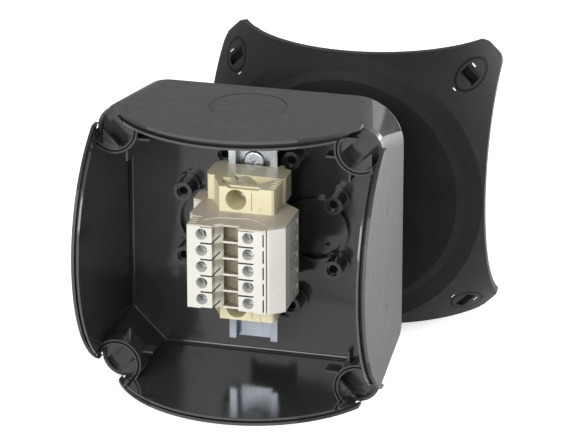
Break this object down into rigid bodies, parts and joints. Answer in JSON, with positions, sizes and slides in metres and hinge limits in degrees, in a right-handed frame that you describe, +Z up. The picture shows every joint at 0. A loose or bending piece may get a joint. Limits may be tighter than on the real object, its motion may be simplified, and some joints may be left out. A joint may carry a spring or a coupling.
{
  "type": "cable junction box",
  "caption": "Opened square black junction box with arched sealing rims, rail terminals and a domed lid with quarter-turn corner fasteners.",
  "frame": {"origin": "centre of the flat rear mounting face of the case", "axes": "+Y out of the back of the case, against the wall; +Z up; +X to the right seen from the open front"},
  "size_m": [0.2452, 0.2678, 0.2078],
  "materials": {
    "case_black": "glossy inside, fine matte outside",
    "lid_black": "matte",
    "fastener_black": "satin",
    "seal_black": "matte",
    "zinc_steel": "satin",
    "tin_copper": "satin",
    "terminal_beige": "matte",
    "plate_taupe": "matte",
    "strip_white": "satin",
    "clamp_beige": "matte"
  },
  "bodies": {
    "case_and_lid": {"enclosure_base": "case_black", "case_seal": "seal_black", "din_rail": "zinc_steel", "rail_screw_upper": "zinc_steel", "rail_screw_lower": "zinc_steel", "terminal_housing_1": "terminal_beige", "current_bar_1": "tin_copper", "terminal_housing_2": "terminal_beige", "current_bar_2": "tin_copper", "terminal_housing_3": "terminal_beige", "current_bar_3": "tin_copper", "terminal_housing_4": "terminal_beige", "current_bar_4": "tin_copper", "terminal_housing_5": "terminal_beige", "current_bar_5": "tin_copper", "terminal_end_plate": "plate_taupe", "marker_strip": "strip_white", "end_clamp_upper": "clamp_beige", "end_clamp_lower": "clamp_beige", "end_clamp_screw_upper": "zinc_steel", "end_clamp_screw_lower": "zinc_steel", "lid": "lid_black"},
    "screw_body_left_1": {"clamp_screw_left_1": "zinc_steel"},
    "cage_body_left_1": {"clamp_cage_left_1": "zinc_steel"},
    "screw_body_right_1": {"clamp_screw_right_1": "zinc_steel"},
    "cage_body_right_1": {"clamp_cage_right_1": "zinc_steel"},
    "screw_body_left_2": {"clamp_screw_left_2": "zinc_steel"},
    "cage_body_left_2": {"clamp_cage_left_2": "zinc_steel"},
    "screw_body_right_2": {"clamp_screw_right_2": "zinc_steel"},
    "cage_body_right_2": {"clamp_cage_right_2": "zinc_steel"},
    "screw_body_left_3": {"clamp_screw_left_3": "zinc_steel"},
    "cage_body_left_3": {"clamp_cage_left_3": "zinc_steel"},
    "screw_body_right_3": {"clamp_screw_right_3": "zinc_steel"},
    "cage_body_right_3": {"clamp_cage_right_3": "zinc_steel"},
    "screw_body_left_4": {"clamp_screw_left_4": "zinc_steel"},
    "cage_body_left_4": {"clamp_cage_left_4": "zinc_steel"},
    "screw_body_right_4": {"clamp_screw_right_4": "zinc_steel"},
    "cage_body_right_4": {"clamp_cage_right_4": "zinc_steel"},
    "screw_body_left_5": {"clamp_screw_left_5": "zinc_steel"},
    "cage_body_left_5": {"clamp_cage_left_5": "zinc_steel"},
    "screw_body_right_5": {"clamp_screw_right_5": "zinc_steel"},
    "cage_body_right_5": {"clamp_cage_right_5": "zinc_steel"},
    "fastener_body_1": {"lid_fastener_1": "fastener_black"},
    "fastener_body_2": {"lid_fastener_2": "fastener_black"},
    "fastener_body_3": {"lid_fastener_3": "fastener_black"},
    "fastener_body_4": {"lid_fastener_4": "fastener_black"}
  },
  "joints": [
    {"name": "clamp_screw_left_1_turn", "type": "hinge", "parent": "case_and_lid", "child": "screw_body_left_1", "pos_m": [-0.0158, -0.096, -0.01965], "axis": [0, 1, 0], "range_deg": [0, 1441]},
    {"name": "clamp_cage_left_1_rise", "type": "slide", "parent": "case_and_lid", "child": "cage_body_left_1", "axis": [0, -1, 0], "range_m": [0, 0.004]},
    {"name": "clamp_screw_right_1_turn", "type": "hinge", "parent": "case_and_lid", "child": "screw_body_right_1", "pos_m": [0.017, -0.096, -0.01965], "axis": [0, 1, 0], "range_deg": [0, 1441]},
    {"name": "clamp_cage_right_1_rise", "type": "slide", "parent": "case_and_lid", "child": "cage_body_right_1", "axis": [0, -1, 0], "range_m": [0, 0.004]},
    {"name": "clamp_screw_left_2_turn", "type": "hinge", "parent": "case_and_lid", "child": "screw_body_left_2", "pos_m": [-0.0158, -0.096, -0.00775], "axis": [0, 1, 0], "range_deg": [0, 1441]},
    {"name": "clamp_cage_left_2_rise", "type": "slide", "parent": "case_and_lid", "child": "cage_body_left_2", "axis": [0, -1, 0], "range_m": [0, 0.004]},
    {"name": "clamp_screw_right_2_turn", "type": "hinge", "parent": "case_and_lid", "child": "screw_body_right_2", "pos_m": [0.017, -0.096, -0.00775], "axis": [0, 1, 0], "range_deg": [0, 1441]},
    {"name": "clamp_cage_right_2_rise", "type": "slide", "parent": "case_and_lid", "child": "cage_body_right_2", "axis": [0, -1, 0], "range_m": [0, 0.004]},
    {"name": "clamp_screw_left_3_turn", "type": "hinge", "parent": "case_and_lid", "child": "screw_body_left_3", "pos_m": [-0.0158, -0.096, 0.00415], "axis": [0, 1, 0], "range_deg": [0, 1441]},
    {"name": "clamp_cage_left_3_rise", "type": "slide", "parent": "case_and_lid", "child": "cage_body_left_3", "axis": [0, -1, 0], "range_m": [0, 0.004]},
    {"name": "clamp_screw_right_3_turn", "type": "hinge", "parent": "case_and_lid", "child": "screw_body_right_3", "pos_m": [0.017, -0.096, 0.00415], "axis": [0, 1, 0], "range_deg": [0, 1441]},
    {"name": "clamp_cage_right_3_rise", "type": "slide", "parent": "case_and_lid", "child": "cage_body_right_3", "axis": [0, -1, 0], "range_m": [0, 0.004]},
    {"name": "clamp_screw_left_4_turn", "type": "hinge", "parent": "case_and_lid", "child": "screw_body_left_4", "pos_m": [-0.0158, -0.096, 0.01605], "axis": [0, 1, 0], "range_deg": [0, 1441]},
    {"name": "clamp_cage_left_4_rise", "type": "slide", "parent": "case_and_lid", "child": "cage_body_left_4", "axis": [0, -1, 0], "range_m": [0, 0.004]},
    {"name": "clamp_screw_right_4_turn", "type": "hinge", "parent": "case_and_lid", "child": "screw_body_right_4", "pos_m": [0.017, -0.096, 0.01605], "axis": [0, 1, 0], "range_deg": [0, 1441]},
    {"name": "clamp_cage_right_4_rise", "type": "slide", "parent": "case_and_lid", "child": "cage_body_right_4", "axis": [0, -1, 0], "range_m": [0, 0.004]},
    {"name": "clamp_screw_left_5_turn", "type": "hinge", "parent": "case_and_lid", "child": "screw_body_left_5", "pos_m": [-0.0158, -0.096, 0.02795], "axis": [0, 1, 0], "range_deg": [0, 1441]},
    {"name": "clamp_cage_left_5_rise", "type": "slide", "parent": "case_and_lid", "child": "cage_body_left_5", "axis": [0, -1, 0], "range_m": [0, 0.004]},
    {"name": "clamp_screw_right_5_turn", "type": "hinge", "parent": "case_and_lid", "child": "screw_body_right_5", "pos_m": [0.017, -0.096, 0.02795], "axis": [0, 1, 0], "range_deg": [0, 1441]},
    {"name": "clamp_cage_right_5_rise", "type": "slide", "parent": "case_and_lid", "child": "cage_body_right_5", "axis": [0, -1, 0], "range_m": [0, 0.004]},
    {"name": "lid_fastener_1_turn", "type": "hinge", "parent": "case_and_lid", "child": "fastener_body_1", "pos_m": [-0.049, 0.103, 0.0876], "axis": [0, 1, 0], "range_deg": [0, 90]},
    {"name": "lid_fastener_2_turn", "type": "hinge", "parent": "case_and_lid", "child": "fastener_body_2", "pos_m": [0.125, 0.103, 0.0876], "axis": [0, 1, 0], "range_deg": [0, 90]},
    {"name": "lid_fastener_3_turn", "type": "hinge", "parent": "case_and_lid", "child": "fastener_body_3", "pos_m": [0.125, 0.103, -0.0864], "axis": [0, 1, 0], "range_deg": [0, 90]},
    {"name": "lid_fastener_4_turn", "type": "hinge", "parent": "case_and_lid", "child": "fastener_body_4", "pos_m": [-0.049, 0.103, -0.0864], "axis": [0, 1, 0], "range_deg": [0, 90]}
  ],
  "couplings": [
    {"joint": "clamp_screw_left_1_turn", "follows": "clamp_cage_left_1_rise", "rad_per_m": 6283.2},
    {"joint": "clamp_screw_right_1_turn", "follows": "clamp_cage_right_1_rise", "rad_per_m": 6283.2},
    {"joint": "clamp_screw_left_2_turn", "follows": "clamp_cage_left_2_rise", "rad_per_m": 6283.2},
    {"joint": "clamp_screw_right_2_turn", "follows": "clamp_cage_right_2_rise", "rad_per_m": 6283.2},
    {"joint": "clamp_screw_left_3_turn", "follows": "clamp_cage_left_3_rise", "rad_per_m": 6283.2},
    {"joint": "clamp_screw_right_3_turn", "follows": "clamp_cage_right_3_rise", "rad_per_m": 6283.2},
    {"joint": "clamp_screw_left_4_turn", "follows": "clamp_cage_left_4_rise", "rad_per_m": 6283.2},
    {"joint": "clamp_screw_right_4_turn", "follows": "clamp_cage_right_4_rise", "rad_per_m": 6283.2},
    {"joint": "clamp_screw_left_5_turn", "follows": "clamp_cage_left_5_rise", "rad_per_m": 6283.2},
    {"joint": "clamp_screw_right_5_turn", "follows": "clamp_cage_right_5_rise", "rad_per_m": 6283.2}
  ]
}
